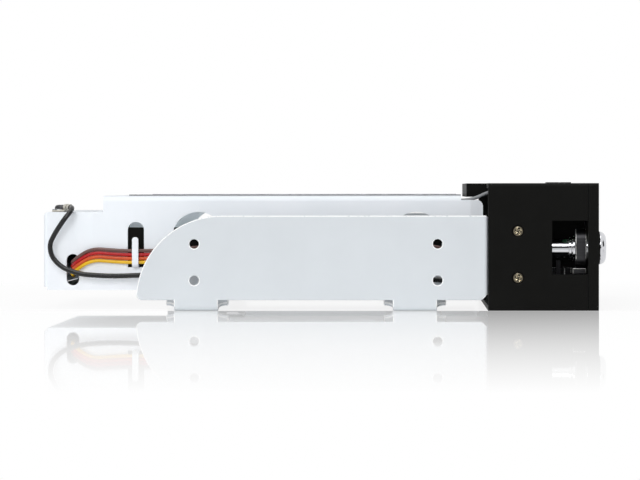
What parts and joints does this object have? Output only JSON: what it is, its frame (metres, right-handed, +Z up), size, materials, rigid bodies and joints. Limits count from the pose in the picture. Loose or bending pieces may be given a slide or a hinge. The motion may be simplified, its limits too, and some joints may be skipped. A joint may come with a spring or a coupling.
{
  "type": "hot swap drive cage",
  "caption": "Drive cage for a half-height bay: a vented sheet shell on side rails behind a moulded front with a keyed, hinged door and a drive ejector.",
  "frame": {"origin": "bottom centre of the whole object's box, on the surface that it stands on", "axes": "+X to the front, the door side; +Y to the hinge side; +Z up"},
  "size_m": [0.1854, 0.146, 0.0418],
  "materials": {
    "bracket_paint": "powder coated light grey",
    "cage_paint": "powder coated bluish white",
    "rivet_steel": "plain",
    "zinc_steel": "bright zinc",
    "nickel_screw": "nickel, slightly warm",
    "magnet_nickel": "nickel plated",
    "dark_steel": "dark phosphate",
    "chrome": "polished",
    "tinned_brass": "tinned",
    "black_plastic": "moulded black, satin",
    "connector_black": "moulded black",
    "connector_white": "moulded natural",
    "clear_plastic": "clear polished",
    "lamp_plastic": "diffused lamp",
    "board_green": "solder mask",
    "pad_rubber": "soft pad",
    "wire_yellow": "cable sheath",
    "wire_orange": "cable sheath",
    "wire_red": "cable sheath",
    "wire_brown": "cable sheath",
    "wire_grey": "cable sheath",
    "wire_black": "cable sheath"
  },
  "bodies": {
    "cage": {"left_side_bracket": "bracket_paint", "right_side_bracket": "bracket_paint", "bracket_rivets": "rivet_steel", "cage_body": "cage_paint", "cage_floor": "cage_paint", "rear_cover": "cage_paint", "left_guide_rail": "black_plastic", "right_guide_rail": "black_plastic", "backplane_board": "board_green", "board_standoffs": "zinc_steel", "drive_connector": "connector_black", "power_port": "connector_white", "data_port": "connector_black", "front_housing": "black_plastic", "housing_screws": "nickel_screw", "hinge_pins": "zinc_steel", "catch_magnet": "magnet_nickel", "lock_strike": "dark_steel", "key_switch": "connector_black", "led_board": "board_green", "status_leds": "lamp_plastic", "ejector_studs": "zinc_steel", "ring_terminal": "tinned_brass", "terminal_screw": "dark_steel", "ribbon_yellow": "wire_yellow", "ribbon_orange": "wire_orange", "ribbon_red": "wire_red", "ribbon_brown": "wire_brown", "ground_wire": "wire_black", "led_lead_grey": "wire_grey", "led_lead_black": "wire_black"},
    "door": {"drive_door": "black_plastic", "light_pipes": "clear_plastic", "catch_plate": "zinc_steel", "lock_ferrule": "chrome", "ejector_crank": "black_plastic"},
    "lock_core": {"lock_plug": "chrome", "lock_cam": "dark_steel", "lock_rings": "chrome"},
    "ejector": {"ejector_slide": "zinc_steel", "ejector_pad": "pad_rubber"}
  },
  "joints": [
    {"name": "door_swing", "type": "hinge", "parent": "cage", "child": "door", "pos_m": [0.08835, 0.07132, 0.02], "axis": [0, 0, 1], "range_deg": [0, 90]},
    {"name": "lock_turn", "type": "hinge", "parent": "door", "child": "lock_core", "pos_m": [0.09005, -0.06402, 0.0203], "axis": [1, 0, 0], "range_deg": [0, 90]},
    {"name": "ejector_travel", "type": "slide", "parent": "cage", "child": "ejector", "axis": [1, 0, 0], "range_m": [0, 0.012]}
  ],
  "couplings": [
    {"joint": "ejector_travel", "follows": "door_swing", "m_per_rad": 0.0076394}
  ]
}
